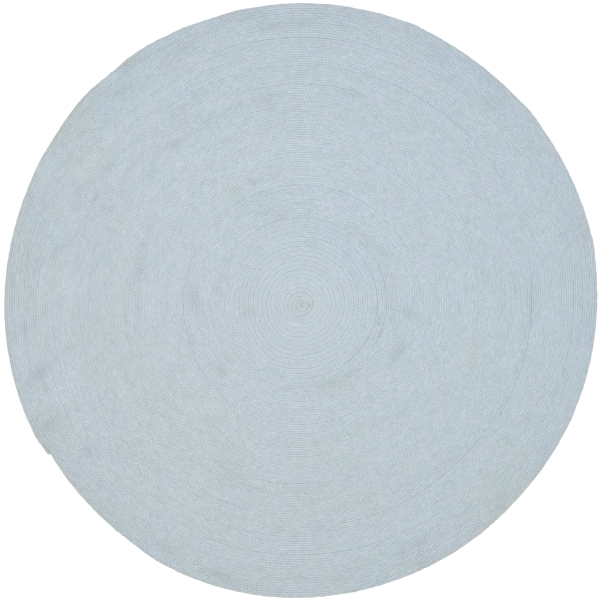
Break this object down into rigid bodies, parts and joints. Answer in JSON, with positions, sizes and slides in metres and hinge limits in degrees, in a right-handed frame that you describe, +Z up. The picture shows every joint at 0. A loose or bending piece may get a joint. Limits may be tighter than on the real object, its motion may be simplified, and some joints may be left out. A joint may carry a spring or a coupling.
{
  "type": "round braided rug",
  "caption": "Round braided rug lying flat: a long flat cotton braid coiled from the middle and sewn turn to turn into a disc, with its end tucked in at the rim.",
  "frame": {"origin": "on the floor under the middle of the rug's box", "axes": "+Z up through the rug's thickness, +Y to the top of the rug as seen from above, +X to the right"},
  "size_m": [1.829, 1.8346, 0.0085],
  "materials": {
    "cotton_braid": "matt pale blue-grey cotton braid, a little worn"
  },
  "bodies": {
    "root": {"braided_rug": "cotton_braid"}
  },
  "joints": []
}
